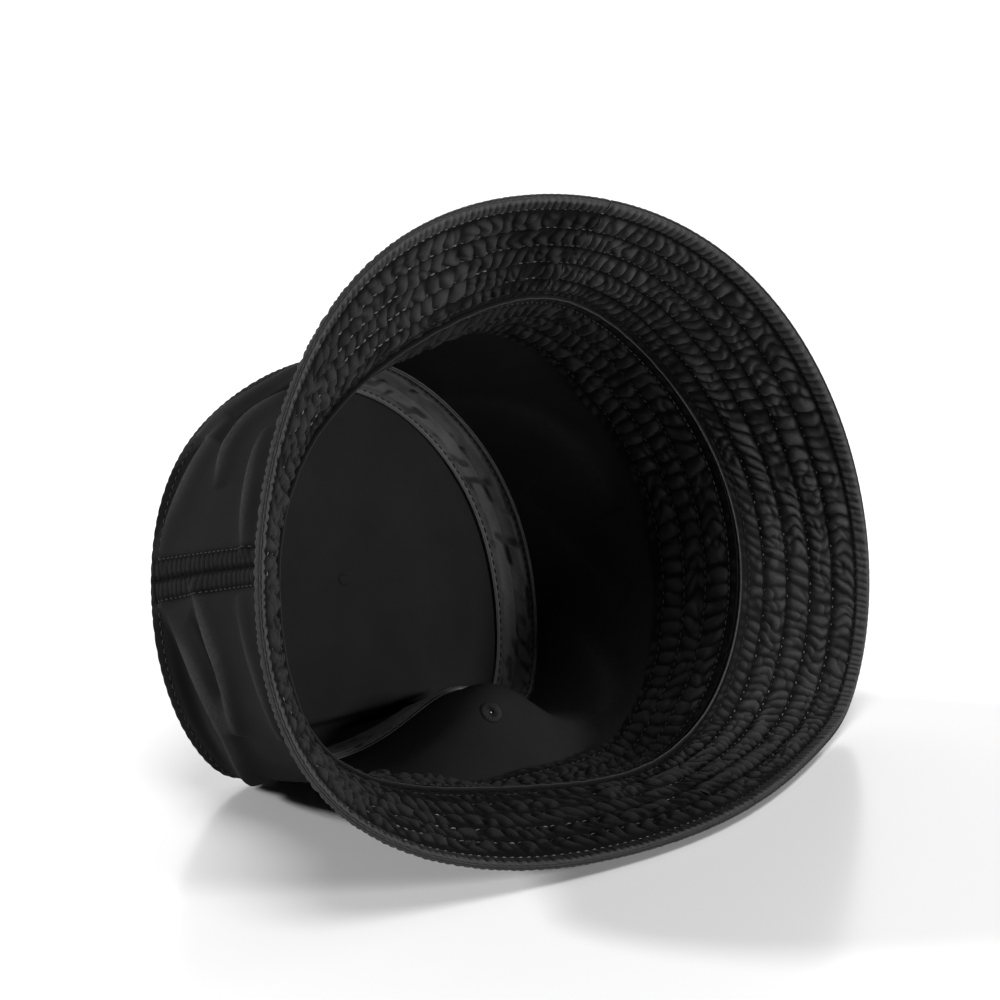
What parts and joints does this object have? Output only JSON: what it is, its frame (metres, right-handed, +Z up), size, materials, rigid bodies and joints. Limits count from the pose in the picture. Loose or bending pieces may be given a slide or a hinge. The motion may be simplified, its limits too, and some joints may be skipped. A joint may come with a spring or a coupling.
{
  "type": "bucket hat",
  "caption": "soft cotton bucket hat lying on its side, with a straight crown, flat tip, stitched sloping brim, sweatband and sewn air eyelets",
  "frame": {"origin": "middle of the bounding box, on the floor the hat lies on", "axes": "+Z up; the opening faces +X and a little upwards, the tip of the crown is at -X; the front of the brim is at +Y and the centre-back seam at -Y"},
  "size_m": [0.1684, 0.2912, 0.2009],
  "materials": {
    "crown_cloth": "washed cotton twill",
    "tape": "bias tape in the same cotton",
    "brim_top_cloth": "washed cotton twill",
    "stiffening": "woven stiffening cloth, hidden",
    "brim_under_cloth": "washed cotton twill, puckered",
    "sweatband_cloth": "washed cotton twill, puckered",
    "padding": "thin felt, hidden",
    "eyelet_thread": "closely wound thread",
    "outer_thread": "sewing thread",
    "under_thread": "sewing thread with a grey twist"
  },
  "bodies": {
    "root": {"crown_tip": "crown_cloth", "crown_wall": "crown_cloth", "tip_seam_tape": "tape", "brim_top_back": "brim_top_cloth", "brim_top_front": "brim_top_cloth", "brim_stiffener_back": "stiffening", "brim_stiffener_front": "stiffening", "brim_under_back": "brim_under_cloth", "brim_under_front": "brim_under_cloth", "sweatband": "sweatband_cloth", "sweatband_padding": "padding", "eyelets_left": "eyelet_thread", "eyelets_right": "eyelet_thread", "brim_top_thread": "outer_thread", "brim_under_thread": "under_thread", "opening_seam_thread": "under_thread", "sweatband_thread": "under_thread", "tape_thread": "outer_thread", "crown_topstitch_thread": "outer_thread", "back_seam_thread": "outer_thread"}
  },
  "joints": []
}
